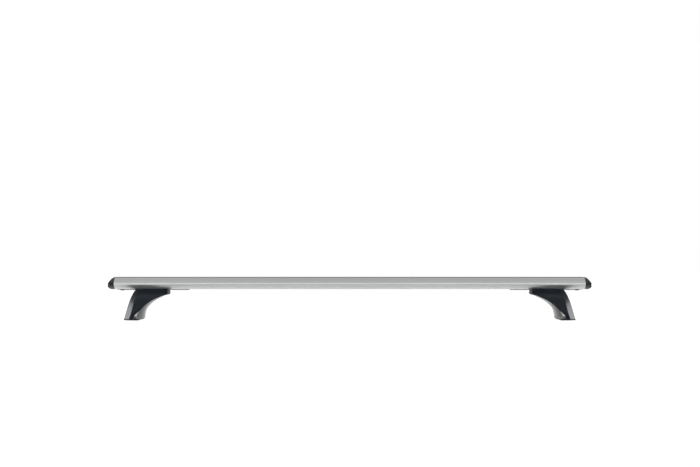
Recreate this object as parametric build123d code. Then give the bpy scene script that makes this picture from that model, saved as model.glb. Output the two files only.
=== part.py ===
"""Roof rack crossbar: an extruded aluminium bar on two covered feet.

Millimetres. +X runs along the bar, +Z is up, and the camera side is -Y. The
origin lies on the ground, midway between the feet, under the slot's centre
line. Every foot piece is drawn for the right foot, in a frame whose origin is
on the ground under the base bush, and is mirrored for the left foot.
"""

from build123d import *
from math import cos, radians, sin, sqrt
import os

# Whole bar
OVERALL_LENGTH = 1260.0
UNDERSIDE = 80.0
CAP_LENGTH = 18.0

# Bar section, seen along X: the nose points to +Y and the tail to -Y
BAR_HEIGHT = 31.5
NOSE_REACH = 30.5
TAIL_REACH = 49.5
CROWN_Y = 2.0
NOSE_HEIGHT = 15.0
BAR_NOSE_RADIUS = 11.0
TAIL_HEIGHT = 14.5
TAIL_RADIUS = 3.2
FLAT_NOSE_Y = 12.0
FLAT_TAIL_Y = -10.0
WALL = 1.8
WEB = 1.8
TAIL_WEB_Y = -31.0

# Top slot and its rubber strip
TOP_MOUTH = 18.6
TOP_CHANNEL = 25.0
TOP_LIP = 2.4
TOP_CHANNEL_DEPTH = 7.3
STRIP_PLATE = 2.6
STRIP_PROUD = 0.3
STRIP_LEG = 2.0
STRIP_LEG_DEPTH = 6.6
STRIP_BARB = 2.4
STRIP_BEAD_Y = -1.2
STRIP_BEAD_WIDTH = 1.3
STRIP_BEAD_HEIGHT = 0.4

# Bottom slot
BOTTOM_MOUTH = 10.5
BOTTOM_CHANNEL = 20.0
BOTTOM_LIP = 2.6
BOTTOM_CHANNEL_DEPTH = 7.8

# End cap
CAP_WALL = 2.0
CAP_TOP_INSET = 14.0
CAP_SHOULDER_INSET = 10.6
CAP_UPPER_INSET = 1.4
CAP_LOWER_INSET = 1.4
CAP_UNDER_INSET = 4.2
CAP_BOTTOM_INSET = 9.0
CAP_SHOULDER_HEIGHT = 28.6
CAP_UPPER_HEIGHT = 14.5
CAP_TIP_HEIGHT = 11.3
CAP_LOWER_HEIGHT = 7.6
CAP_UNDER_HEIGHT = 3.2
CAP_BOW = 2.6
CAP_CORNER = 5.0
CAP_PANEL_STEP = 0.5
CAP_PANEL_MARGIN = 5.0
CAP_PANEL_RIM = 1.1
CAP_RIB = 3.0
PLUG_DEPTH = 12.0
PLUG_WALL = 1.5
PLUG_CLEARANCE = 0.25

# Slot stop
STOP_WAIST_LENGTH = 5.0
STOP_BLOCK_LENGTH = 8.0
STOP_TAB_LENGTH = 10.7
STOP_WIDTH = 14.0
STOP_WAIST_WIDTH = 9.0
STOP_BLOCK_PROUD = 0.9
STOP_TAB_PROUD = 3.0
STOP_TONGUE = 6.5
STOP_TONGUE_THICKNESS = 1.2
STOP_CLEARANCE = 0.15
STOP_SCREW_RADIUS = 2.0
STOP_SCREW_RECESS = 0.4
STOP_SCREW_SOCKET = 2.0
SCREW_CLEARANCE = 0.05

# Slide plate
PLATE_LENGTH = 170.0
PLATE_WIDTH = 17.0
PLATE_THICKNESS = 2.15
PLATE_OUTER_REACH = 31.0
PLATE_BEVEL = 0.5
PLATE_CORNER = 1.2
KEY_HEIGHT = 2.1
SLIDE_CLEARANCE = 0.1

# T-bolts, washers and nuts
BOLT_RADIUS = 3.0
BOLT_REACHES = (14.0, 54.0)
BOLT_HEAD_LENGTH = 16.0
BOLT_HEAD_WIDTH = 13.0
BOLT_HEAD_HEIGHT = 4.5
BOLT_TAIL = 1.6
BOLT_TAIL_CHAMFER = 0.6
BOLT_HOLE_CLEARANCE = 0.3
WASHER_RADIUS = 6.0
WASHER_THICKNESS = 1.6
NUT_ACROSS_FLATS = 10.0
NUT_HEIGHT = 5.0
NUT_CHAMFER = 0.6

# Foot outline, seen from the side, as reaches from the base bush
BASE_OUTER_REACH = 31.0
OUTER_LOW_CONTROL = 21.6
OUTER_HIGH_CONTROL = 21.2
TOP_OUTER_REACH = 0.8
PAD_INNER_REACH = 9.5
TOE_REACH = 22.5
TOE_HEIGHT = 7.5
TOE_RADIUS = 4.6
TOE_UNDERCUT = 1.0
TOE_RISE = 1.6
TONGUE_REACH = 91.0
TONGUE_DROP = 13.0
TONGUE_SLOPE = 15.0
TOE_HANDLE = 29.0
TONGUE_HANDLE = 43.0
NOSE_RADIUS = 6.0
NOSE_LENGTH = 8.5
NOSE_CORNER = 5.0
PANEL_CORNER = 4.0
PANEL_CORNER_DROP = 13.2
FOOT_RAISE = 4.0

# Foot outline, seen from the front and from above
BASE_HALF = 54.5
TOP_HALF = 22.0
TAPER_TOP_GAP = 4.0
BASE_FLAT_HALF = 33.6
TOP_FLAT_HALF = 13.0
BASE_CREASE_INSET = 14.4
TOP_CREASE_INSET = 8.2
CREASE_SWELL = 13.2
CORNER_STATIONS = 7
CROWN_RADIUS = 80.0
BEVEL_INSET = 1.6
BEVEL_RUN = 6.5
BEVEL_REACH = 95.0
BEVEL_ROUNDS = 4
FLANK_STATIONS = 5

# Foot pieces
SHELL_WALL = 2.6
COVER_WALL = 2.4
COVER_GAP = 0.3
COVER_RETURN = 1.6
COVER_RETURN_DEPTH = 8.0
SEAT = 0.3
BAR_GAP = 0.4
PAD_THICKNESS = 4.0
PAD_GROOVE_WIDTH = 2.4
PAD_GROOVE_DEPTH = 0.8
PAD_GROOVE_REACH = 10.0
PAD_GROOVE_SWEEP = 2.5
PAD_HOLE_RADIUS = 7.3
CORE_FLANGE = 5.0
CORE_PLATE = 6.0
CORE_WALL = 5.5
CORE_TO_FLANK = 9.0
CORE_WEB_INNER = 15.0
CORE_WEB = 3.5
CORE_HOLE_RADIUS = 10.5
CORE_HOLE_REACH = 3.0
CORE_HOLE_HEIGHT = 40.0
RECESS_OUTER_REACH = 70.5
RECESS_LENGTH = 11.0
RECESS_WIDTH = 33.0
RECESS_DEPTH = 1.0

# Base bush
BUSH_RADIUS = 5.6
BUSH_BORE_RADIUS = 3.4
BUSH_HEIGHT = 9.0
BUSH_FLANGE_RADIUS = 7.0
BUSH_FLANGE = 1.6
BUSH_FIT = 0.03
BUSH_MOUTH_CHAMFER = 0.6

# Lock
LOCK_STATION = 0.42
LOCK_WINDOW_RADIUS = 6.3
LOCK_LIP = 2.4
LOCK_RADIUS = 7.0
LOCK_FIT = 0.05
LOCK_LENGTH = 12.5
LOCK_BOSS_WALL = 2.2
LOCK_KEY_WIDTH = 1.2
LOCK_KEY_LENGTH = 7.0
LOCK_KEY_DEPTH = 4.0
LOCK_STUB_RADIUS = 2.6
LOCK_HEAD_RADIUS = 3.8
LOCK_HEAD = 1.2
CAM_THICKNESS = 2.2
CAM_REACH = 13.8
CAM_HUB_RADIUS = 5.6
CAM_TIP_RADIUS = 3.2
CATCH_GAP = 0.5
CATCH_THICKNESS = 3.0
CATCH_LENGTH = 9.0
CATCH_INNER = 10.8

# Places worked out from the sizes above
BAR_TOP = UNDERSIDE + BAR_HEIGHT
CAP_TIP = OVERALL_LENGTH / 2
BAR_END = CAP_TIP - CAP_LENGTH
STOP_INNER = BAR_END - STOP_WAIST_LENGTH - STOP_BLOCK_LENGTH - STOP_TAB_LENGTH
FOOT_X = STOP_INNER - SEAT - PLATE_OUTER_REACH
PLATE_TOP = UNDERSIDE - SLIDE_CLEARANCE
FLANGE_TOP = PLATE_TOP - PLATE_THICKNESS
FLANGE_BOTTOM = FLANGE_TOP - CORE_FLANGE
TAPER_TOP = UNDERSIDE - TAPER_TOP_GAP
FOOT_RAW_TOP = UNDERSIDE + FOOT_RAISE
OUTER_CONTROLS = (BASE_OUTER_REACH, OUTER_LOW_CONTROL, OUTER_HIGH_CONTROL, TOP_OUTER_REACH)
NOSE_EDGE = NOSE_LENGTH - TONGUE_REACH

# Lengths that only have to reach past every piece of a foot, or through one plate
FAR = 400.0
WIDE = 200.0
OPEN = 50.0
THROUGH = 20.0
THIRD = 1 / 3


def point_between(start, end, share):
    """The number that lies at a share of the way from start to end."""
    return start + (end - start) * share


def box_between(low, high):
    """A box from its lowest to its highest corner."""
    size = [high[i] - low[i] for i in range(3)]
    centre = [(high[i] + low[i]) / 2 for i in range(3)]
    return Pos(*centre) * Box(*size)


def along_x(face, start, end):
    """A section in (Y, Z), carried along X from start to end."""
    return Pos(start, 0, 0) * extrude(Plane.YZ * face, end - start)


def across_y(face, half):
    """An outline in (X, Z), carried to both sides along Y."""
    return extrude(Plane.XZ * face, half, both=True)


def rectangle(low_u, low_v, high_u, high_v):
    """A flat rectangle from its lowest to its highest corner."""
    centre = Pos((low_u + high_u) / 2, (low_v + high_v) / 2)
    return centre * Rectangle(high_u - low_u, high_v - low_v)


# Bar

def easing_arc(level_y, level_z, hub, small, grow):
    """The large arc from a level edge into a small end arc: its start, middle and end."""
    side = 1 if level_z > hub.Y else -1
    run = hub.X - level_y
    rise = side * (level_z - hub.Y)
    large = (run**2 + rise**2 - small**2) / (2 * (rise - small))
    centre = Vector(level_y, level_z - side * large)
    level = Vector(0, side)
    tangent = (hub - centre).normalized()
    middle = (level + tangent).normalized()
    return [centre + way * (large + grow) for way in (level, middle, tangent)]


def bar_outline(grow=0.0):
    """The bar's outer section, grown on all sides: round nose, flat track land, thin tail."""
    nose_hub = Vector(NOSE_REACH - BAR_NOSE_RADIUS, UNDERSIDE + NOSE_HEIGHT)
    tail_hub = Vector(TAIL_RADIUS - TAIL_REACH, UNDERSIDE + TAIL_HEIGHT)
    top_nose = easing_arc(CROWN_Y, BAR_TOP, nose_hub, BAR_NOSE_RADIUS, grow)
    top_tail = easing_arc(CROWN_Y, BAR_TOP, tail_hub, TAIL_RADIUS, grow)
    low_nose = easing_arc(FLAT_NOSE_Y, UNDERSIDE, nose_hub, BAR_NOSE_RADIUS, grow)
    low_tail = easing_arc(FLAT_TAIL_Y, UNDERSIDE, tail_hub, TAIL_RADIUS, grow)
    nose_tip = nose_hub + Vector(BAR_NOSE_RADIUS + grow, 0)
    tail_tip = tail_hub - Vector(TAIL_RADIUS + grow, 0)
    edges = [
        ThreePointArc(*top_nose),
        ThreePointArc(top_nose[2], nose_tip, low_nose[2]),
        ThreePointArc(*low_nose),
        Line(low_nose[0], low_tail[0]),
        ThreePointArc(*low_tail),
        ThreePointArc(low_tail[2], tail_tip, top_tail[2]),
        ThreePointArc(*top_tail),
    ]
    return make_face(edges)


def top_track(grow):
    """The solid block of the section that holds the top slot, grown by a clearance."""
    half = TOP_CHANNEL / 2 + WEB + grow
    low = BAR_TOP - TOP_LIP - TOP_CHANNEL_DEPTH - WEB - grow
    return rectangle(-half, low, half, BAR_TOP + BAR_HEIGHT)


def bottom_track(grow):
    """The solid block of the section that holds the bottom slot, grown by a clearance."""
    half = BOTTOM_CHANNEL / 2 + WEB + grow
    high = UNDERSIDE + BOTTOM_LIP + BOTTOM_CHANNEL_DEPTH + WEB + grow
    return rectangle(-half, UNDERSIDE - BAR_HEIGHT, half, high)


def upright_webs(grow):
    """The two webs between the slots and the one in the tail, grown by a clearance."""
    inner = BOTTOM_CHANNEL / 2 - grow
    outer = BOTTOM_CHANNEL / 2 + WEB + grow
    web = rectangle(inner, UNDERSIDE, outer, BAR_TOP)
    tail_half = WEB / 2 + grow
    tail_web = rectangle(TAIL_WEB_Y - tail_half, UNDERSIDE, TAIL_WEB_Y + tail_half, BAR_TOP)
    return web + mirror(web, about=Plane.YZ) + tail_web


def bar_cavities(clearance=0.0):
    """The closed hollows of the section, drawn in by a clearance: nose, tail and middle."""
    hollow = bar_outline(-WALL - clearance)
    return hollow - top_track(clearance) - bottom_track(clearance) - upright_webs(clearance)


def top_slot():
    """The opening of the top slot: a channel under two lips."""
    floor = BAR_TOP - TOP_LIP - TOP_CHANNEL_DEPTH
    channel = rectangle(-TOP_CHANNEL / 2, floor, TOP_CHANNEL / 2, BAR_TOP - TOP_LIP)
    mouth = rectangle(-TOP_MOUTH / 2, floor, TOP_MOUTH / 2, BAR_TOP + TOP_LIP)
    return channel + mouth


def bottom_slot():
    """The opening of the bottom slot: a channel over two lips."""
    lip = UNDERSIDE + BOTTOM_LIP
    ceiling = lip + BOTTOM_CHANNEL_DEPTH
    channel = rectangle(-BOTTOM_CHANNEL / 2, lip, BOTTOM_CHANNEL / 2, ceiling)
    mouth = rectangle(-BOTTOM_MOUTH / 2, UNDERSIDE - BOTTOM_LIP, BOTTOM_MOUTH / 2, ceiling)
    return channel + mouth


def bar_profile():
    """The extruded bar, cut square at both ends."""
    section = bar_outline() - bar_cavities() - top_slot() - bottom_slot()
    return along_x(section, -BAR_END, BAR_END)


def top_rubber_strip():
    """The strip in the top slot: cover plate, fine bead, and two barbed legs."""
    half = TOP_MOUTH / 2 - PLUG_CLEARANCE
    lip_under = BAR_TOP - TOP_LIP
    plate_low = BAR_TOP - STRIP_PLATE
    leg_low = BAR_TOP - STRIP_PLATE - STRIP_LEG_DEPTH
    above = BAR_TOP + TOP_LIP
    plate = bar_outline(STRIP_PROUD) & rectangle(-half, plate_low, half, above)
    bead_low = STRIP_BEAD_Y - STRIP_BEAD_WIDTH / 2
    bead_high = STRIP_BEAD_Y + STRIP_BEAD_WIDTH / 2
    bead = bar_outline(STRIP_PROUD + STRIP_BEAD_HEIGHT)
    bead = bead & rectangle(bead_low, plate_low, bead_high, above)
    leg = rectangle(half - STRIP_LEG, leg_low, half, plate_low)
    barb_top = lip_under - SLIDE_CLEARANCE
    barb = make_face(
        Polyline(
            (half - STRIP_LEG, barb_top),
            (half, barb_top),
            (half + STRIP_BARB, barb_top - STRIP_BARB),
            (half, leg_low),
            (half - STRIP_LEG, leg_low),
            close=True,
        )
    )
    side = leg + barb
    section = plate + bead + side + mirror(side, about=Plane.YZ)
    return along_x(section, -BAR_END, BAR_END)


# End cap, drawn for the right end

def cap_side_outline(inset):
    """The cap's faceted nose, seen from the side, drawn in by a wall."""
    tip = CAP_TIP - inset
    points = [
        (BAR_END, UNDERSIDE - CAP_LENGTH),
        (tip - CAP_BOTTOM_INSET, UNDERSIDE - CAP_LENGTH),
        (tip - CAP_BOTTOM_INSET, UNDERSIDE),
        (tip - CAP_UNDER_INSET, UNDERSIDE + CAP_UNDER_HEIGHT),
        (tip - CAP_LOWER_INSET, UNDERSIDE + CAP_LOWER_HEIGHT),
        (tip, UNDERSIDE + CAP_TIP_HEIGHT),
        (tip - CAP_UPPER_INSET, UNDERSIDE + CAP_UPPER_HEIGHT),
        (tip - CAP_SHOULDER_INSET, UNDERSIDE + CAP_SHOULDER_HEIGHT),
        (tip - CAP_TOP_INSET, BAR_TOP),
        (tip - CAP_TOP_INSET, BAR_TOP + CAP_LENGTH),
        (BAR_END, BAR_TOP + CAP_LENGTH),
    ]
    return make_face(Polyline(*points, close=True))


def cap_plan_outline(inset):
    """The cap's bowed end with rounded corners, seen from above."""
    tip = CAP_TIP - inset
    middle = (NOSE_REACH - TAIL_REACH) / 2
    nose = NOSE_REACH - inset
    tail = -TAIL_REACH + inset
    corner = CAP_CORNER - inset / 2
    edge = tip - CAP_BOW
    turn = corner * (1 - sqrt(0.5))
    edges = [
        Line((BAR_END, tail), (edge - corner, tail)),
        ThreePointArc((edge - corner, tail), (edge - turn, tail + turn), (edge, tail + corner)),
        ThreePointArc((edge, tail + corner), (tip, middle), (edge, nose - corner)),
        ThreePointArc((edge, nose - corner), (edge - turn, nose - turn), (edge - corner, nose)),
        Line((edge - corner, nose), (BAR_END, nose)),
        Line((BAR_END, nose), (BAR_END, tail)),
    ]
    return make_face(edges)


def cap_body(inset):
    """The cap's full form, drawn in by a wall on every side but the bar's."""
    body = along_x(bar_outline(-inset), BAR_END, CAP_TIP)
    body = body & across_y(cap_side_outline(inset), FAR)
    return body & extrude(cap_plan_outline(inset), FAR)


def cap_plug():
    """The thin-walled plugs: from the cap's nose wall into the bar's hollows."""
    cells = bar_cavities(PLUG_CLEARANCE) & rectangle(TAIL_WEB_Y, UNDERSIDE, NOSE_REACH, BAR_TOP)
    rings = cells - offset(cells, -PLUG_WALL)
    in_bar = along_x(rings, BAR_END - PLUG_DEPTH, BAR_END)
    in_cap = along_x(rings, BAR_END, CAP_TIP) & cap_body(CAP_WALL / 2)
    return in_bar + in_cap


def cap_panels():
    """What is sunk from the cap's upper and lower facets: shallow panels inside a rim."""
    low_y = CAP_PANEL_MARGIN - TAIL_REACH
    high_y = NOSE_REACH - CAP_PANEL_MARGIN
    upper_low = UNDERSIDE + CAP_UPPER_HEIGHT + CAP_PANEL_RIM
    upper_high = UNDERSIDE + CAP_SHOULDER_HEIGHT - CAP_PANEL_RIM
    lower_high = UNDERSIDE + CAP_LOWER_HEIGHT - CAP_PANEL_RIM
    bands = rectangle(low_y, upper_low, high_y, upper_high)
    bands = bands + rectangle(low_y, UNDERSIDE, high_y, lower_high)
    slab = along_x(bar_outline(-CAP_WALL) & bands, BAR_END, CAP_TIP)
    return slab - across_y(cap_side_outline(CAP_PANEL_STEP), FAR)


def cap_rib():
    """The upright rib that stiffens the cap behind its nose, over the stop's tongue."""
    rib = box_between((BAR_END, -CAP_RIB / 2, UNDERSIDE), (CAP_TIP, CAP_RIB / 2, BAR_TOP))
    return rib & cap_body(CAP_WALL / 2)


def end_cap():
    """The cap: faceted shell, plugs, rib, and the recess for the stop's tongue."""
    shell = cap_body(0) - cap_body(CAP_WALL) - cap_panels()
    recess_half = STOP_WAIST_WIDTH / 2 + STOP_CLEARANCE
    recess = box_between(
        (BAR_END - CAP_WALL, -recess_half, UNDERSIDE - CAP_WALL),
        (BAR_END + STOP_TONGUE + STOP_CLEARANCE, recess_half, UNDERSIDE + STOP_TONGUE_THICKNESS),
    )
    return shell + cap_plug() + cap_rib() - recess


# Slot stop, drawn for the right end

def slot_stop():
    """The stop: T-shaped body in the slot, proud tab, waist and tongue."""
    channel_half = BOTTOM_CHANNEL / 2 - STOP_CLEARANCE
    mouth_half = BOTTOM_MOUTH / 2 - STOP_CLEARANCE
    lip = UNDERSIDE + BOTTOM_LIP
    ceiling = lip + BOTTOM_CHANNEL_DEPTH - STOP_CLEARANCE
    block_end = BAR_END - STOP_WAIST_LENGTH
    tab_end = STOP_INNER + STOP_TAB_LENGTH
    under = UNDERSIDE - STOP_CLEARANCE
    over_lip = lip + STOP_CLEARANCE
    slider = box_between((STOP_INNER, -channel_half, over_lip), (block_end, channel_half, ceiling))
    neck = box_between((STOP_INNER, -mouth_half, under), (block_end, mouth_half, ceiling))
    half = STOP_WIDTH / 2
    block = box_between((tab_end, -half, UNDERSIDE - STOP_BLOCK_PROUD), (block_end, half, under))
    tab = box_between((STOP_INNER, -half, UNDERSIDE - STOP_TAB_PROUD), (tab_end, half, under))
    tab = chamfer(tab.edges().group_by(Axis.Z)[0], STOP_BLOCK_PROUD)
    waist_half = STOP_WAIST_WIDTH / 2
    tongue = box_between(
        (block_end, -waist_half, UNDERSIDE),
        (BAR_END + STOP_TONGUE, waist_half, UNDERSIDE + STOP_TONGUE_THICKNESS - STOP_CLEARANCE),
    )
    hole = Pos(stop_screw_x(), 0, 0) * Cylinder(STOP_SCREW_RADIUS + SCREW_CLEARANCE, FAR)
    return slider + neck + block + tab + tongue - hole


def stop_screw_x():
    """Where the grub screw stands: in the block, one diameter from the tab."""
    return STOP_INNER + STOP_TAB_LENGTH + STOP_SCREW_RADIUS


def stop_screw():
    """The grub screw with its hexagon socket, tight on the slot's ceiling."""
    low = UNDERSIDE - STOP_BLOCK_PROUD + STOP_SCREW_RECESS
    high = UNDERSIDE + BOTTOM_LIP + BOTTOM_CHANNEL_DEPTH
    length = high - low
    body = Pos(stop_screw_x(), 0, (low + high) / 2) * Cylinder(STOP_SCREW_RADIUS, length)
    socket = RegularPolygon(STOP_SCREW_SOCKET / 2, 6, major_radius=False)
    return body - Pos(stop_screw_x(), 0, low) * extrude(socket, STOP_SCREW_SOCKET)


# Foot surfaces, drawn for the right foot about its base bush

def half_width(height):
    """Half of the foot's width at a height: a smooth S from wide base to slim top."""
    share = min(max(height / TAPER_TOP, 0), 1)
    return point_between(BASE_HALF, TOP_HALF, share * share * (3 - 2 * share))


def flank_controls():
    """The four control points of the flank's middle line, from toe to tongue."""
    slope = radians(TONGUE_SLOPE)
    toe = (-TOE_REACH, TOE_HEIGHT)
    tongue = (-TONGUE_REACH, UNDERSIDE - TONGUE_DROP)
    toe_handle = (toe[0], toe[1] + TOE_HANDLE)
    tongue_handle = (tongue[0] + TONGUE_HANDLE * cos(slope), tongue[1] - TONGUE_HANDLE * sin(slope))
    return toe, toe_handle, tongue_handle, tongue


def flank_station(share):
    """The plane across the flank's middle line, with local +Y pointing out of the foot."""
    points = [Vector(x, 0, z) for x, z in flank_controls()]
    while len(points) > 2:
        points = [points[i] * (1 - share) + points[i + 1] * share for i in range(len(points) - 1)]
    origin = points[0] * (1 - share) + points[1] * share
    return Plane(origin=origin, x_dir=(0, 1, 0), z_dir=(points[1] - points[0]).normalized())


def flank_section(plane, inset, bevelled):
    """One crowned section of the foot, open towards its back."""
    radius = CROWN_RADIUS - inset
    half = BASE_HALF + BEVEL_INSET
    flare = 0.0
    if bevelled:
        rim = plane.origin
        for _ in range(BEVEL_ROUNDS):
            half = half_width(rim.Z) - BEVEL_INSET
            depth = CROWN_RADIUS - sqrt(radius**2 - half**2)
            rim = plane.origin - plane.y_dir * depth
        flare = BEVEL_INSET / BEVEL_RUN
    rim_v = sqrt(radius**2 - half**2) - CROWN_RADIUS
    back = rim_v - BEVEL_REACH
    wide = half + flare * BEVEL_REACH
    edges = [
        ThreePointArc((-half, rim_v), (0, -inset), (half, rim_v)),
        Polyline((half, rim_v), (wide, back), (-wide, back), (-half, rim_v)),
    ]
    return plane * make_face(edges)


def flank_body(inset, bevelled=False):
    """Everything behind the crowned flank, carried past the toe and the tongue."""
    stations = [flank_station(i / (FLANK_STATIONS - 1)) for i in range(FLANK_STATIONS)]
    toe = stations[0]
    tongue = stations[-1]
    below = toe.move(Location(toe.z_dir * (-2 * TOE_HEIGHT)))
    beyond = tongue.move(Location(tongue.z_dir * TONGUE_DROP))
    planes = [below, *stations, beyond]
    return loft([flank_section(plane, inset, bevelled) for plane in planes])


def side_outline(outer_inset, inner_inset, raw_top=FOOT_RAW_TOP):
    """The foot seen from the side, drawn in at its outer face and at its nose and toe."""
    outer = [(x - outer_inset, UNDERSIDE * THIRD * i) for i, x in enumerate(OUTER_CONTROLS)]
    outer_low = outer[0][0]
    outer_high = outer[-1][0]
    nose_x = -TONGUE_REACH + inner_inset
    nose_z = UNDERSIDE - TONGUE_DROP + NOSE_RADIUS
    toe_x = -TOE_REACH + inner_inset
    toe_low = TOE_UNDERCUT + inner_inset
    turn = NOSE_RADIUS * (1 - sqrt(0.5))
    toe_turn = TOE_RADIUS * (1 - sqrt(0.5))
    pad_x = max(-PAD_INNER_REACH, toe_x + TOE_RADIUS)
    base = min(inner_inset, 0)
    edges = [
        Bezier(*outer),
        Polyline(
            (outer_high, UNDERSIDE),
            (outer_high, raw_top),
            (nose_x, raw_top),
            (nose_x, nose_z),
        ),
        ThreePointArc(
            (nose_x, nose_z),
            (nose_x + turn, nose_z - NOSE_RADIUS + turn),
            (nose_x + NOSE_RADIUS, nose_z - NOSE_RADIUS - TOE_UNDERCUT),
        ),
        Line(
            (nose_x + NOSE_RADIUS, nose_z - NOSE_RADIUS - TOE_UNDERCUT),
            (toe_x, toe_low + TOE_RISE + TOE_RADIUS),
        ),
        ThreePointArc(
            (toe_x, toe_low + TOE_RISE + TOE_RADIUS),
            (toe_x + toe_turn, toe_low + TOE_RISE + toe_turn),
            (toe_x + TOE_RADIUS, toe_low + TOE_RISE),
        ),
        Polyline(
            (toe_x + TOE_RADIUS, toe_low + TOE_RISE),
            (pad_x, toe_low),
            (pad_x, base),
            (outer_low, 0),
        ),
    ]
    return make_face(edges)


def front_outline(inset):
    """The foot seen from the front: two S-shaped sides, drawn in by a wall."""
    base = BASE_HALF - inset
    top = TOP_HALF - inset
    low = TAPER_TOP * THIRD
    high = TAPER_TOP - low
    edges = [
        Polyline((-base, 0), (base, 0)),
        Bezier((base, 0), (base, low), (top, high), (top, TAPER_TOP)),
        Polyline((top, TAPER_TOP), (top, FOOT_RAW_TOP), (-top, FOOT_RAW_TOP), (-top, TAPER_TOP)),
        Bezier((-top, TAPER_TOP), (-top, high), (-base, low), (-base, 0)),
    ]
    return make_face(edges)


def outer_reach(height):
    """How far the outer face reaches at a height: the side outline's own curve."""
    share = height / UNDERSIDE
    low, low_control, high_control, high = OUTER_CONTROLS
    rest = 1 - share
    near = low * rest**3 + 3 * low_control * rest**2 * share
    return near + 3 * high_control * rest * share**2 + high * share**3


def corner_section(height, inset):
    """The plan at one height whose two slanting sides cut the outer corners."""
    share = min(max(height / UNDERSIDE, 0), 1)
    half = half_width(height)
    flat = half * point_between(BASE_FLAT_HALF / BASE_HALF, TOP_FLAT_HALF / TOP_HALF, share)
    crease_inset = point_between(BASE_CREASE_INSET, TOP_CREASE_INSET, share)
    crease_inset += CREASE_SWELL * share * (1 - share)
    run = crease_inset / (half - flat)
    apex = outer_reach(height) + run * flat - inset * sqrt(1 + run**2)
    wide = 2 * BASE_HALF
    back = -2 * TONGUE_REACH
    side = apex - run * wide
    points = [(apex, 0), (side, wide), (back, wide), (back, -wide), (side, -wide)]
    return Pos(0, 0, height) * make_face(Polyline(*points, close=True))


def corner_body(inset):
    """Everything inside the two chamfered outer corners."""
    shares = [i / (CORNER_STATIONS - 1) for i in range(CORNER_STATIONS)]
    heights = [point_between(-PAD_THICKNESS, FOOT_RAW_TOP, share) for share in shares]
    return loft([corner_section(height, inset) for height in heights])


def foot_block(side, outer, inner):
    """The foot's form before the flank is cut, with separate insets."""
    block = across_y(side_outline(outer, inner), WIDE)
    block = block & along_x(front_outline(side), -WIDE, WIDE)
    return block & corner_body(outer)


def height_band(low, high):
    """A slab between two heights, wider than the foot."""
    return box_between((-FAR, -FAR, low), (FAR, FAR, high))


def nose_outline(edge):
    """The end of the shell's side panels, seen from the side, with a round lower corner."""
    low = UNDERSIDE - PANEL_CORNER_DROP
    turn = PANEL_CORNER * (1 - sqrt(0.5))
    corner = edge + PANEL_CORNER
    edges = [
        Polyline((edge, low + PANEL_CORNER), (edge, WIDE), (-WIDE, WIDE)),
        Polyline((-WIDE, WIDE), (-WIDE, 0), (corner, 0), (corner, low)),
        ThreePointArc((corner, low), (edge + turn, low + turn), (edge, low + PANEL_CORNER)),
    ]
    return make_face(edges)


def nose_plan():
    """The cover's nose seen from above, with its rounded corners."""
    length = 2 * NOSE_LENGTH + PANEL_CORNER
    outline = Pos(NOSE_LENGTH + PANEL_CORNER / 2, 0) * RectangleRounded(length, 2 * TOP_HALF, NOSE_CORNER)
    return extrude(Pos(-TONGUE_REACH, 0) * outline, FOOT_RAW_TOP)


def bar_envelope(gap):
    """The bar's outer form over the foot, grown by a gap."""
    return along_x(bar_outline(gap), -WIDE, WIDE)


def plate_envelope(gap):
    """The room that the slide plate takes, grown by a gap."""
    half = PLATE_WIDTH / 2 + gap
    return box_between((-FAR, -half, FLANGE_TOP - gap), (FAR, half, UNDERSIDE + BAR_HEIGHT))


# Foot pieces

def base_pad():
    """The hexagonal rubber pad, with its swept grip groove and the bush hole."""
    room = box_between((-PAD_INNER_REACH, -FAR, 0), (FAR, FAR, PAD_THICKNESS))
    pad = foot_block(0, 0, 0) & room
    groove_half = PAD_GROOVE_WIDTH / 2
    tip = PAD_GROOVE_REACH
    side = PAD_GROOVE_REACH + PAD_GROOVE_SWEEP
    band = make_face(
        Polyline(
            (tip - groove_half, 0),
            (side - groove_half, BASE_HALF),
            (side + groove_half, BASE_HALF),
            (tip + groove_half, 0),
            (side + groove_half, -BASE_HALF),
            (side - groove_half, -BASE_HALF),
            close=True,
        )
    )
    groove = extrude(band, PAD_GROOVE_DEPTH)
    return pad - groove - Cylinder(PAD_HOLE_RADIUS, FAR)


def foot_shell():
    """The outer housing: bevelled side panels, chamfered corners and outer face."""
    body = foot_block(0, 0, 0) & flank_body(0, bevelled=True)
    body = body & height_band(PAD_THICKNESS, FOOT_RAW_TOP)
    open_front = -2 * COVER_RETURN_DEPTH
    cavity = across_y(side_outline(SHELL_WALL, open_front), WIDE)
    cavity = cavity & along_x(front_outline(SHELL_WALL), -WIDE, WIDE)
    cavity = cavity & corner_body(SHELL_WALL)
    shell = body - cavity - bar_envelope(BAR_GAP) - plate_envelope(SEAT)
    return shell - across_y(nose_outline(NOSE_EDGE + COVER_GAP), WIDE)


def lock_plane(depth):
    """The plane across the lock's axis at a depth, with +Z into the foot."""
    station = flank_station(LOCK_STATION)
    inward = station.y_dir * -1
    return Plane(origin=station.origin + inward * depth, x_dir=station.z_dir, z_dir=inward)


def lock_rod(radius, start, end):
    """A rod on the lock's axis between two depths under the flank."""
    return extrude(lock_plane(start) * Circle(radius), end - start)


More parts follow.
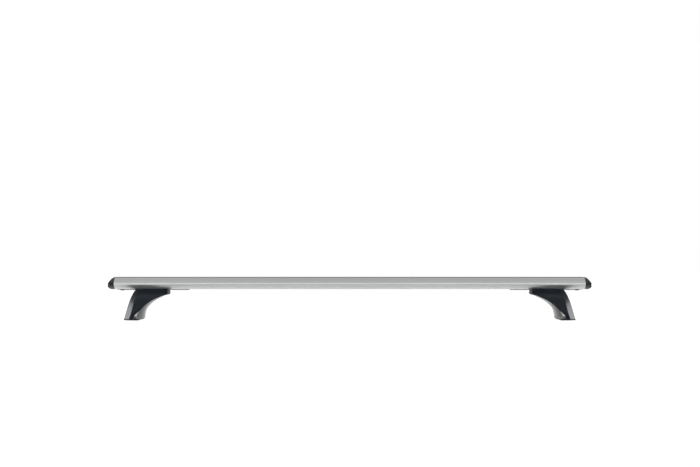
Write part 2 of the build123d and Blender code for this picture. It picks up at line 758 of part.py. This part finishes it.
def flank_cover():
    """The crowned cover: skin, side returns, nose and toe, lock boss and finger recess."""
    side = SHELL_WALL + COVER_GAP
    nose = foot_block(0, 0, 0) & across_y(nose_outline(NOSE_EDGE), WIDE) & nose_plan()
    form = (foot_block(side, SHELL_WALL, 0) + nose) & flank_body(0)
    inside = foot_block(side + COVER_RETURN, 0, COVER_WALL) & flank_body(COVER_WALL)
    deep = foot_block(0, -COVER_WALL, COVER_WALL) & flank_body(COVER_RETURN_DEPTH)
    deep = deep - across_y(nose_outline(NOSE_EDGE), WIDE)
    over_low = (-PAD_INNER_REACH - COVER_GAP, -FAR, -FAR)
    over_pad = box_between(over_low, (FAR, FAR, PAD_THICKNESS + COVER_GAP))
    skin = form - deep - inside - over_pad
    boss_radius = LOCK_RADIUS + LOCK_FIT + LOCK_BOSS_WALL
    boss = lock_rod(boss_radius, COVER_WALL / 2, LOCK_LIP + LOCK_LENGTH - SLIDE_CLEARANCE)
    recess_zone = box_between(
        (-RECESS_OUTER_REACH - RECESS_LENGTH, -RECESS_WIDTH / 2, 0),
        (-RECESS_OUTER_REACH, RECESS_WIDTH / 2, UNDERSIDE),
    )
    recess = recess_zone - flank_body(RECESS_DEPTH)
    cover = skin + boss - recess
    cover = cover - lock_rod(LOCK_RADIUS + LOCK_FIT, LOCK_LIP, WIDE)
    cover = cover - lock_rod(LOCK_WINDOW_RADIUS, -LOCK_LENGTH, LOCK_LIP)
    return cover - bar_envelope(BAR_GAP) - plate_envelope(SEAT)


def core_webs():
    """The two upright webs of the core, each with a round lightening hole."""
    outer = CORE_WEB_INNER + CORE_WEB
    web = box_between((-FAR, CORE_WEB_INNER, 0), (FAR, outer, UNDERSIDE))
    hole_place = Pos(CORE_HOLE_REACH, 0, CORE_HOLE_HEIGHT) * Rot(90, 0, 0)
    pair = web + mirror(web, about=Plane.XZ)
    return pair - hole_place * Cylinder(CORE_HOLE_RADIUS, FAR)


def lock_catch():
    """The catch on one core web: the turned cam lies behind it."""
    catch_end = LOCK_LIP + LOCK_LENGTH - CATCH_GAP
    place = lock_plane(catch_end - CATCH_THICKNESS)
    block = rectangle(-CATCH_LENGTH / 2, CATCH_INNER, CATCH_LENGTH / 2, CORE_WEB_INNER + CORE_WEB / 2)
    return extrude(place * block, CATCH_THICKNESS)


def foot_core():
    """The cast bracket: base plate, leaning wall, top flange, webs and catch."""
    gap = SHELL_WALL + SEAT
    block = foot_block(gap, gap, CORE_TO_FLANK) & flank_body(CORE_TO_FLANK)
    block = block & height_band(PAD_THICKNESS, FLANGE_TOP)
    hollow = across_y(side_outline(gap + CORE_WALL, -OPEN), WIDE)
    hollow = hollow & height_band(PAD_THICKNESS + CORE_PLATE, FLANGE_BOTTOM)
    core = block - (hollow - core_webs())
    core = core + lock_catch()
    bolt_hole = Cylinder(BOLT_RADIUS + BOLT_HOLE_CLEARANCE, THROUGH)
    for reach in BOLT_REACHES:
        core = core - Pos(-reach, 0, FLANGE_TOP) * bolt_hole
    return core - Pos(0, 0, PAD_THICKNESS) * Cylinder(BUSH_RADIUS + BUSH_FIT, THROUGH)


def base_bush():
    """The flanged steel bush with a threaded bore, in the core's base plate."""
    body = Pos(0, 0, PAD_THICKNESS + BUSH_HEIGHT / 2) * Cylinder(BUSH_RADIUS, BUSH_HEIGHT)
    flange = Pos(0, 0, PAD_THICKNESS - BUSH_FLANGE / 2) * Cylinder(BUSH_FLANGE_RADIUS, BUSH_FLANGE)
    bush = body + flange - Cylinder(BUSH_BORE_RADIUS, FAR)
    mouth = Cone(BUSH_BORE_RADIUS + BUSH_MOUTH_CHAMFER, BUSH_BORE_RADIUS, BUSH_MOUTH_CHAMFER)
    return bush - Pos(0, 0, PAD_THICKNESS - BUSH_FLANGE + BUSH_MOUTH_CHAMFER / 2) * mouth


def slide_plate():
    """The plate under the bar, bevelled below, with a key that runs in the slot's mouth."""
    inner = PLATE_OUTER_REACH - PLATE_LENGTH
    middle = (PLATE_OUTER_REACH + inner) / 2
    outline = RectangleRounded(PLATE_LENGTH, PLATE_WIDTH, PLATE_CORNER)
    plate = Pos(middle, 0, FLANGE_TOP) * extrude(outline, PLATE_THICKNESS)
    plate = chamfer(plate.edges().group_by(Axis.Z)[0], PLATE_BEVEL)
    key_half = BOTTOM_MOUTH / 2 - SLIDE_CLEARANCE
    key = box_between(
        (inner + PLATE_CORNER, -key_half, FLANGE_TOP + PLATE_THICKNESS / 2),
        (PLATE_OUTER_REACH - PLATE_CORNER, key_half, PLATE_TOP + KEY_HEIGHT),
    )
    plate = plate + key
    bolt_hole = Cylinder(BOLT_RADIUS + BOLT_HOLE_CLEARANCE, THROUGH)
    for reach in BOLT_REACHES:
        plate = plate - Pos(-reach, 0, FLANGE_TOP) * bolt_hole
    return plate


def on_bolts(piece):
    """The same small piece at both T-bolts."""
    copies = [Pos(-reach, 0, 0) * piece for reach in BOLT_REACHES]
    return Compound(children=copies)


def t_bolts():
    """Two T-head bolts whose heads run inside the bar's bottom slot."""
    head_low = UNDERSIDE + BOTTOM_LIP + SLIDE_CLEARANCE
    tail = FLANGE_BOTTOM - WASHER_THICKNESS - NUT_HEIGHT - BOLT_TAIL
    head_outline = RectangleRounded(BOLT_HEAD_LENGTH, BOLT_HEAD_WIDTH, BOLT_RADIUS)
    head = Pos(0, 0, head_low) * extrude(head_outline, BOLT_HEAD_HEIGHT)
    shank = Pos(0, 0, tail) * extrude(Circle(BOLT_RADIUS), head_low - tail)
    shank = chamfer(shank.edges().group_by(Axis.Z)[0], BOLT_TAIL_CHAMFER)
    return on_bolts((head + shank).solid())


def t_washers():
    """Two plain washers under the core's top flange."""
    ring = Circle(WASHER_RADIUS) - Circle(BOLT_RADIUS + BOLT_HOLE_CLEARANCE)
    washer = Pos(0, 0, FLANGE_BOTTOM - WASHER_THICKNESS) * extrude(ring, WASHER_THICKNESS)
    return on_bolts(washer.solid())


def t_nuts():
    """Two hexagon nuts, chamfered at the corners, on the T-bolts."""
    top = FLANGE_BOTTOM - WASHER_THICKNESS
    hexagon = RegularPolygon(NUT_ACROSS_FLATS / 2, 6, major_radius=False)
    nut = Pos(0, 0, top - NUT_HEIGHT) * extrude(hexagon, NUT_HEIGHT)
    rim = NUT_ACROSS_FLATS / sqrt(3) - NUT_CHAMFER / 2
    drum = extrude(Circle(rim + NUT_CHAMFER), NUT_HEIGHT)
    drum = chamfer(drum.edges().filter_by(GeomType.CIRCLE), NUT_CHAMFER)
    nut = nut & Pos(0, 0, top - NUT_HEIGHT) * drum
    return on_bolts((nut - Cylinder(BOLT_RADIUS + SCREW_CLEARANCE, FAR)).solid())


def lock_barrel():
    """The lock barrel: key slot in its face, stub and retaining head at its inner end."""
    back = LOCK_LIP + LOCK_LENGTH
    barrel = lock_rod(LOCK_RADIUS, LOCK_LIP + SCREW_CLEARANCE, back)
    key = lock_plane(LOCK_LIP) * Rectangle(LOCK_KEY_LENGTH, LOCK_KEY_WIDTH)
    barrel = barrel - extrude(key, LOCK_KEY_DEPTH)
    stub = lock_rod(LOCK_STUB_RADIUS, back, back + CAM_THICKNESS)
    head = lock_rod(LOCK_HEAD_RADIUS, back + CAM_THICKNESS, back + CAM_THICKNESS + LOCK_HEAD)
    return barrel + stub + head


def lock_cam():
    """The cam on the barrel's stub: a hub that tapers to a rounded tip."""
    hub = Circle(CAM_HUB_RADIUS)
    tip = Pos(CAM_REACH - CAM_TIP_RADIUS, 0) * Circle(CAM_TIP_RADIUS)
    outline = make_hull(hub.edges() + tip.edges())
    outline = outline - Circle(LOCK_STUB_RADIUS + BUSH_FIT)
    return extrude(lock_plane(LOCK_LIP + LOCK_LENGTH) * outline, CAM_THICKNESS)


FOOT_PIECES = {
    "slide_plate": slide_plate,
    "t_bolts": t_bolts,
    "t_washers": t_washers,
    "t_nuts": t_nuts,
    "foot_core": foot_core,
    "foot_shell": foot_shell,
    "base_pad": base_pad,
    "base_bush": base_bush,
    "flank_cover": flank_cover,
    "lock_barrel": lock_barrel,
    "lock_cam": lock_cam,
}
END_PIECES = {
    "end_cap": end_cap,
    "slot_stop": slot_stop,
    "stop_screw": stop_screw,
}


def write_pair(name, shape):
    """Writes a right-hand piece and its mirror image on the left."""
    export_step(shape, f"parts/{name}_right.step")
    export_step(mirror(shape, about=Plane.YZ), f"parts/{name}_left.step")


def main():
    os.makedirs("parts", exist_ok=True)
    export_step(bar_profile(), "parts/bar_profile.step")
    export_step(top_rubber_strip(), "parts/top_rubber_strip.step")
    for name, build in END_PIECES.items():
        write_pair(name, build())
    for name, build in FOOT_PIECES.items():
        write_pair(name, Pos(FOOT_X, 0, 0) * build())


main()
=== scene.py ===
"""Looks of the roof rack crossbar: finishes, bush threads, floor, light and camera.

Lengths are in metres. +X runs along the bar, +Z is up, and the camera stands on the -Y side.
"""

from math import atan, cos, pi, radians, sin, tau

import bpy
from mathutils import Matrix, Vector


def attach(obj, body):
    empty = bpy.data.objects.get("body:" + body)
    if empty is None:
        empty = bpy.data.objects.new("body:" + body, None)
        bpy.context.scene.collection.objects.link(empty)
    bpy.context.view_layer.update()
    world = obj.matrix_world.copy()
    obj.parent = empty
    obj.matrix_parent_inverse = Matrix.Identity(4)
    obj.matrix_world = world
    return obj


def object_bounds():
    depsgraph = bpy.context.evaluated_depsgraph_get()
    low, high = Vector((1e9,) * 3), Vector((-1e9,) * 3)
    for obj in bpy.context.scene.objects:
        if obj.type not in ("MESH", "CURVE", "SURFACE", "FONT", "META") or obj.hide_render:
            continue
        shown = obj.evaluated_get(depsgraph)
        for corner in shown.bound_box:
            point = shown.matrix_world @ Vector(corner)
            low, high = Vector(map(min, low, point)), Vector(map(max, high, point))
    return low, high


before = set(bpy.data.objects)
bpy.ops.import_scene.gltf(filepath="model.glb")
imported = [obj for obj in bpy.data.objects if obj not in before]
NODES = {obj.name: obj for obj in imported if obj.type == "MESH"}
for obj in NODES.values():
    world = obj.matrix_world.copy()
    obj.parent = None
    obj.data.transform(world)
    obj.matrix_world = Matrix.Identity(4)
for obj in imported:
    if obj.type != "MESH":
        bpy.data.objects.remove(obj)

CAD_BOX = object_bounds()
SIDES = ("left", "right")
MM = 0.001

# Camera: the front elevation of the photograph, in its frame of 700 x 467
IMAGE_WIDTH = 700
IMAGE_HEIGHT = 467
OBJECT_WIDTH_PX = 481.8
OBJECT_CENTRE_PX = (349.7, 298.3)
LENS_MM = 115.0
SENSOR_MM = 36.0
ELEVATION_DEG = 1.5
CLIP_END = 100

# Sky: its level at each height, from straight down (0) past the horizon (0.5) to overhead (1)
SKY_LEVELS = ((0.0, 0.78), (0.5, 0.46), (0.62, 0.56), (0.84, 0.52), (0.93, 0.60), (1.0, 1.1))

# Dark room behind the camera: the directions in which its shade starts and is full, and the
# share of the sky's light that is left there
SHADE_BOUNDS = (("Y", -0.25, -0.85), ("Z", 0.5, 0.15))
SHADE_LEAVES = 0.2

# Floor: a sheet of paper just under the pads. The camera sees a share of plain glow in it,
# which keeps it white round the object's shadow
FLOOR_LEVEL = -0.2 * MM
FLOOR_RADIUS = 9.0
FLOOR_CORNERS = 96
PAPER_COLOUR = (0.78, 0.78, 0.78, 1)
PAPER_SHARE = 0.6
PAPER_GLOW = 1.4

# Lamps: place, target, width, height and watts. End lamps stand at both ends: x is for the
# right one, and the left one mirrors it
MIDDLE_LAMPS = {
    "key": ((0, -1.9, 1.9), (0, 0, 0.08), 2.6, 0.9, 10.0),
    "strip": ((0, -1.15, 0.85), (0, 0, 0.1), 2.8, 0.3, 3.5),
    "low": ((0, 2.4, 0.14), (0, 0, 0.1), 1.8, 0.4, 4.5),
}
END_LAMPS = {
    "side": ((2.25, 0.42, 0.55), (0.57, 0, 0.05), 0.9, 1.2, 42.0),
    "rear": ((1.9, 1.7, 0.6), (0, 0, 0.05), 1.6, 1.2, 21.0),
}

# Thread of the base bushes: a ridge in the bore, whose crest and end are shares of the pitch
BUSH_BORE = 3.4 * MM
THREAD_DEPTH = 0.45 * MM
THREAD_PITCH = 1.25 * MM
THREAD_CREST = 0.4
THREAD_END = 0.8
THREAD_STEPS = 28

# Most of a noise's values lie in this span
NOISE_SPAN = (0.3, 0.7)


# Node trees

class Tree:
    """The node tree of a material or world, emptied."""

    def __init__(self, owner):
        owner.use_nodes = True
        self.nodes = owner.node_tree.nodes
        self.links = owner.node_tree.links
        self.nodes.clear()

    def node(self, kind, values=None, **settings):
        """A new node, with settings of its own and values for its inputs."""
        made = self.nodes.new(kind)
        for name, setting in settings.items():
            setattr(made, name, setting)
        for name, value in (values or {}).items():
            made.inputs[name].default_value = value
        return made

    def link(self, source, output, target, name):
        """Links a node's output to another node's input."""
        self.links.new(source.outputs[output], target.inputs[name])

    def mix(self, share, first, second):
        """A mix of two shaders. All three are pairs of a node and its output's name."""
        made = self.node("ShaderNodeMixShader")
        for index, (source, output) in enumerate((share, first, second)):
            self.link(source, output, made, index)
        return made


class Finish(Tree):
    """A material with one Principled shader, some of whose values follow noises."""

    def __init__(self, name, values=None):
        self.material = bpy.data.materials.new(name)
        super().__init__(self.material)
        self.shader = self.node("ShaderNodeBsdfPrincipled", values)
        self.output = self.node("ShaderNodeOutputMaterial")
        self.link(self.shader, "BSDF", self.output, "Surface")
        self.coordinates = self.node("ShaderNodeTexCoord")

    def noise(self, scale, detail, stretch=(1.0, 1.0, 1.0)):
        """Noise whose scale is in features per metre, times the stretch along each axis."""
        mapping = self.node("ShaderNodeMapping", {"Scale": stretch})
        self.link(self.coordinates, "Object", mapping, "Vector")
        noise = self.node("ShaderNodeTexNoise", {"Scale": scale, "Detail": detail})
        self.link(mapping, "Vector", noise, "Vector")
        return noise

    def colour(self, noise, dark, light):
        """Base colour that follows a noise from a dark tone to a light one."""
        ramp = self.node("ShaderNodeValToRGB")
        for element, position, tone in zip(ramp.color_ramp.elements, NOISE_SPAN, (dark, light)):
            element.position = position
            element.color = (*tone, 1)
        self.link(noise, "Fac", ramp, "Fac")
        self.link(ramp, "Color", self.shader, "Base Color")

    def roughness(self, noise, smooth, dull, span=NOISE_SPAN):
        """Roughness that follows a noise over a span of its values."""
        bounds = {"From Min": span[0], "From Max": span[1], "To Min": smooth, "To Max": dull}
        made = self.node("ShaderNodeMapRange", bounds)
        self.link(noise, "Fac", made, "Value")
        self.link(made, "Result", self.shader, "Roughness")

    def relief(self, noise, depth):
        """Relief of a real depth in metres that follows a noise."""
        made = self.node("ShaderNodeBump", {"Strength": 1.0, "Distance": depth})
        self.link(noise, "Fac", made, "Height")
        self.link(made, "Normal", self.shader, "Normal")


# Finishes

def aluminium(name, dark, light, roughness, line_depth):
    """Satin anodised aluminium with fine extrusion lines along the bar."""
    finish = Finish(name, {"Metallic": 0.82})
    lines = finish.noise(scale=900, detail=3, stretch=(0.004, 1.0, 1.0))
    cloud = finish.noise(scale=9, detail=2, stretch=(0.4, 3.0, 3.0))
    finish.colour(cloud, dark, light)
    finish.roughness(lines, smooth=roughness - 0.02, dull=roughness + 0.03)
    finish.relief(lines, depth=line_depth)
    return finish.material


def moulded_plastic(name, dark, light, roughness, grain, grain_depth, shine):
    """Moulded plastic with an eroded grain and a slight change of tone."""
    finish = Finish(name, {"Specular IOR Level": shine})
    fine = finish.noise(scale=grain, detail=3)
    cloud = finish.noise(scale=28, detail=3)
    finish.colour(cloud, dark, light)
    finish.roughness(fine, smooth=roughness - 0.06, dull=roughness + 0.08, span=(0.35, 0.65))
    finish.relief(fine, depth=grain_depth)
    return finish.material


def gloss_plastic(name, dark, light):
    """Polished plastic: deep colour, clear coat, faint long waves from the mould."""
    finish = Finish(name, {"IOR": 2.25, "Coat Weight": 0.6, "Coat Roughness": 0.04})
    wave = finish.noise(scale=22, detail=1)
    dust = finish.noise(scale=700, detail=4)
    finish.colour(wave, dark, light)
    finish.roughness(dust, smooth=0.12, dull=0.19, span=(0.4, 0.7))
    finish.relief(wave, depth=0.02 * MM)
    return finish.material


def rubber(name, dark, light, roughness):
    """Matt rubber with a fine sandy skin."""
    finish = Finish(name)
    sand = finish.noise(scale=2400, detail=3)
    cloud = finish.noise(scale=40, detail=2)
    finish.colour(cloud, dark, light)
    finish.roughness(sand, smooth=roughness - 0.06, dull=roughness + 0.08)
    finish.relief(sand, depth=0.015 * MM)
    return finish.material


def casting(name, dark, light):
    """Die-cast aluminium with a dull sandy skin."""
    finish = Finish(name, {"Metallic": 0.85})
    sand = finish.noise(scale=1500, detail=4)
    cloud = finish.noise(scale=45, detail=3)
    finish.colour(cloud, dark, light)
    finish.roughness(sand, smooth=0.5, dull=0.68)
    finish.relief(sand, depth=0.05 * MM)
    return finish.material


def plated(name, dark, light):
    """Plated steel with a cool, slightly mottled shine."""
    finish = Finish(name, {"Metallic": 1.0})
    mottle = finish.noise(scale=260, detail=4)
    finish.colour(mottle, dark, light)
    finish.roughness(mottle, smooth=0.26, dull=0.42)
    finish.relief(mottle, depth=0.01 * MM)
    return finish.material


def both(*names):
    """The left and the right node of each name."""
    return [f"{name}_{side}" for name in names for side in SIDES]


def dress(material, *names):
    """Gives the material to the nodes' own slots."""
    for name in names:
        mesh = NODES[name].data
        mesh.materials.clear()
        mesh.materials.append(material)


def dress_nodes():
    """Every CAD node gets its finish."""
    dress(aluminium("bar_satin", dark=(0.575, 0.588, 0.583), light=(0.61, 0.623, 0.618),
                    roughness=0.31, line_depth=0.001 * MM), "bar_profile")
    dress(aluminium("plate_mill", dark=(0.33, 0.33, 0.325), light=(0.39, 0.39, 0.38),
                    roughness=0.36, line_depth=0.006 * MM), *both("slide_plate"))
    dress(rubber("strip_epdm", dark=(0.010, 0.012, 0.016), light=(0.016, 0.019, 0.025),
                 roughness=0.46), "top_rubber_strip")
    dress(rubber("pad_rubber", dark=(0.010, 0.011, 0.014), light=(0.018, 0.019, 0.023),
                 roughness=0.55), *both("base_pad"))
    dress(moulded_plastic("cap_grain", dark=(0.006, 0.007, 0.008), light=(0.010, 0.011, 0.013),
                          roughness=0.32, grain=1900, grain_depth=0.02 * MM, shine=0.22),
          *both("end_cap"))
    dress(moulded_plastic("stop_grain", dark=(0.005, 0.006, 0.007), light=(0.009, 0.010, 0.011),
                          roughness=0.5, grain=1700, grain_depth=0.03 * MM, shine=0.15),
          *both("slot_stop"))
    dress(moulded_plastic("shell_grain", dark=(0.006, 0.010, 0.015), light=(0.010, 0.015, 0.021),
                          roughness=0.36, grain=2100, grain_depth=0.02 * MM, shine=0.17),
          *both("foot_shell"))
    dress(gloss_plastic("cover_gloss", dark=(0.010, 0.011, 0.014), light=(0.016, 0.018, 0.022)),
          *both("flank_cover"))
    dress(casting("core_cast", dark=(0.19, 0.19, 0.19), light=(0.30, 0.30, 0.295)),
          *both("foot_core"))
    dress(plated("zinc_plate", dark=(0.48, 0.50, 0.53), light=(0.66, 0.66, 0.64)),
          *both("t_bolts", "t_washers", "t_nuts", "stop_screw", "base_bush", "lock_cam"))
    # Lock barrels: dark nickel plating whose darkness is partly painted shade, standing in for
    # the shade in the lock's window in the flank cover
    dress(plated("lock_nickel_painted_shade", dark=(0.14, 0.14, 0.15), light=(0.22, 0.22, 0.22)),
          *both("lock_barrel"))


# Threads

def bush_thread(side, body):
    """The helical ridge in the bore of one base bush, wound up from its mouth."""
    bush = NODES[f"base_bush_{side}"]
    corners = [bush.matrix_world @ Vector(corner) for corner in bush.bound_box]
    low = Vector([min(corner[i] for corner in corners) for i in range(3)])
    high = Vector([max(corner[i] for corner in corners) for i in range(3)])
    centre = (low + high) / 2
    start = low.z + THREAD_PITCH
    turns = int((high.z - THREAD_PITCH - start) / THREAD_PITCH)
    section = (
        (BUSH_BORE, 0),
        (BUSH_BORE - THREAD_DEPTH, THREAD_PITCH * THREAD_CREST),
        (BUSH_BORE, THREAD_PITCH * THREAD_END),
    )
    verts = []
    for step in range(turns * THREAD_STEPS + 1):
        angle = tau * step / THREAD_STEPS
        rise = start + THREAD_PITCH * step / THREAD_STEPS
        for radius, lift in section:
            x = centre.x + radius * cos(angle)
            y = centre.y + radius * sin(angle)
            verts.append((x, y, rise + lift))
    count = len(section)
    faces = []
    for step in range(turns * THREAD_STEPS):
        for k in range(count):
            a = step * count + k
            b = step * count + (k + 1) % count
            faces.append((a, b, b + count, a + count))
    faces.append(tuple(range(count)))
    faces.append(tuple(reversed(range(len(verts) - count, len(verts)))))
    mesh = bpy.data.meshes.new(f"bush_thread_{side}")
    mesh.from_pydata(verts, [], faces)
    mesh.materials.append(bpy.data.materials["zinc_plate"])
    ridge = bpy.data.objects.new(f"bush_thread_{side}", mesh)
    bpy.context.scene.collection.objects.link(ridge)
    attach(ridge, body)


# Floor, light and camera

def paper():
    """White paper that keeps the object's soft shadow, and is clear from below."""
    values = {"Base Color": PAPER_COLOUR, "Roughness": 0.9, "Specular IOR Level": 0.1}
    finish = Finish("floor_paper", values)
    glow = finish.node("ShaderNodeEmission", {"Strength": PAPER_GLOW})
    rays = finish.node("ShaderNodeLightPath")
    share = finish.node("ShaderNodeMath", {1: PAPER_SHARE}, operation="MULTIPLY")
    finish.link(rays, "Is Camera Ray", share, 0)
    top = finish.mix((share, "Value"), (finish.shader, "BSDF"), (glow, "Emission"))
    facing = finish.node("ShaderNodeNewGeometry")
    clear = finish.node("ShaderNodeBsdfTransparent")
    sheet = finish.mix((facing, "Backfacing"), (top, "Shader"), (clear, "BSDF"))
    finish.link(sheet, "Shader", finish.output, "Surface")
    return finish.material


def add_floor():
    """A round sheet of paper under the bar."""
    bpy.ops.mesh.primitive_circle_add(vertices=FLOOR_CORNERS, radius=FLOOR_RADIUS,
                                      fill_type="NGON", location=(0, 0, FLOOR_LEVEL))
    floor = bpy.context.object
    floor.name = "floor"
    floor.data.materials.append(paper())
    return floor


def front_shade(tree, direction):
    """The share of the sky's light that the dark room leaves in each direction."""
    depth = tree.node("ShaderNodeMath", operation="MULTIPLY")
    for index, (axis, clear, full) in enumerate(SHADE_BOUNDS):
        mask = tree.node("ShaderNodeMapRange", {"From Min": clear, "From Max": full})
        tree.link(direction, axis, mask, "Value")
        tree.link(mask, "Result", depth, index)
    share = tree.node("ShaderNodeMapRange", {"To Min": 1, "To Max": SHADE_LEAVES})
    tree.link(depth, "Value", share, "Value")
    return share


def add_world():
    """White for the camera, and a soft grey sky, brighter overhead, for everything else."""
    world = bpy.data.worlds.new("studio")
    bpy.context.scene.world = world
    tree = Tree(world)
    place = tree.node("ShaderNodeTexCoord")
    direction = tree.node("ShaderNodeSeparateXYZ")
    tree.link(place, "Generated", direction, "Vector")
    height = tree.node("ShaderNodeMapRange", {"From Min": -1})
    tree.link(direction, "Z", height, "Value")
    ramp = tree.node("ShaderNodeValToRGB")
    tree.link(height, "Result", ramp, "Fac")
    elements = ramp.color_ramp.elements
    while len(elements) < len(SKY_LEVELS):
        elements.new(0.5)
    for element, (position, level) in zip(elements, SKY_LEVELS):
        element.position = position
        element.color = (level, level, level, 1)
    sky = tree.node("ShaderNodeBackground")
    tree.link(ramp, "Color", sky, "Color")
    tree.link(front_shade(tree, direction), "Result", sky, "Strength")
    white = tree.node("ShaderNodeBackground", {"Color": (1, 1, 1, 1)})
    rays = tree.node("ShaderNodeLightPath")
    seen = tree.mix((rays, "Is Camera Ray"), (sky, "Background"), (white, "Background"))
    output = tree.node("ShaderNodeOutputWorld")
    tree.link(seen, "Shader", output, "Surface")


def add_softbox(name, place, target, width, height, power):
    """A rectangular lamp at a place, turned to a target."""
    lamp = bpy.data.lights.new(name, "AREA")
    lamp.shape = "RECTANGLE"
    lamp.size = width
    lamp.size_y = height
    lamp.energy = power
    holder = bpy.data.objects.new(name, lamp)
    bpy.context.scene.collection.objects.link(holder)
    holder.visible_camera = False
    holder.location = place
    holder.rotation_euler = (Vector(target) - Vector(place)).to_track_quat("-Z", "Y").to_euler()
    return holder


def light_only(holder, objects):
    """Lets a lamp light only some objects."""
    group = bpy.data.collections.new(f"{holder.name}_lights")
    for lit in objects:
        group.objects.link(lit)
    holder.light_linking.receiver_collection = group


def add_lights(floor):
    """Two softboxes in front, a low one behind, and a side and a rear one at each end.

    The side ones would bleach the bar, so they light only the shells, covers and floor.
    """
    for name, values in MIDDLE_LAMPS.items():
        add_softbox(name, *values)
    lit = [NODES[name] for name in both("foot_shell", "flank_cover")] + [floor]
    for side, sign in zip(SIDES, (-1, 1)):
        for name, (place, target, *size_and_power) in END_LAMPS.items():
            place, target = ((sign * x, y, z) for x, y, z in (place, target))
            lamp = add_softbox(f"{name}_{side}", place, target, *size_and_power)
            if name == "side":
                light_only(lamp, lit)


def add_camera():
    """The photograph's front elevation: long lens, a little above the bar, tipped up."""
    low, high = CAD_BOX
    length = high[0] - low[0]
    focal_px = LENS_MM / SENSOR_MM * IMAGE_WIDTH
    distance = focal_px * length / OBJECT_WIDTH_PX
    centre = Vector((0, 0, (low[2] + high[2]) / 2))
    rise = radians(ELEVATION_DEG)
    camera = bpy.data.cameras.new("camera")
    camera.lens = LENS_MM
    camera.sensor_width = SENSOR_MM
    camera.clip_end = CLIP_END
    holder = bpy.data.objects.new("camera", camera)
    bpy.context.scene.collection.objects.link(holder)
    holder.location = centre + Vector((0, -distance * cos(rise), distance * sin(rise)))
    tip_up = atan((OBJECT_CENTRE_PX[1] - IMAGE_HEIGHT / 2) / focal_px)
    turn = atan((OBJECT_CENTRE_PX[0] - IMAGE_WIDTH / 2) / focal_px)
    holder.rotation_euler = (pi / 2 - rise + tip_up, 0, turn)
    bpy.context.scene.camera = holder


dress_nodes()
for side in SIDES:
    bush_thread(side, f"{side}_foot")
floor = add_floor()
add_world()
add_lights(floor)
add_camera()
bpy.context.scene.view_settings.view_transform = "Standard"
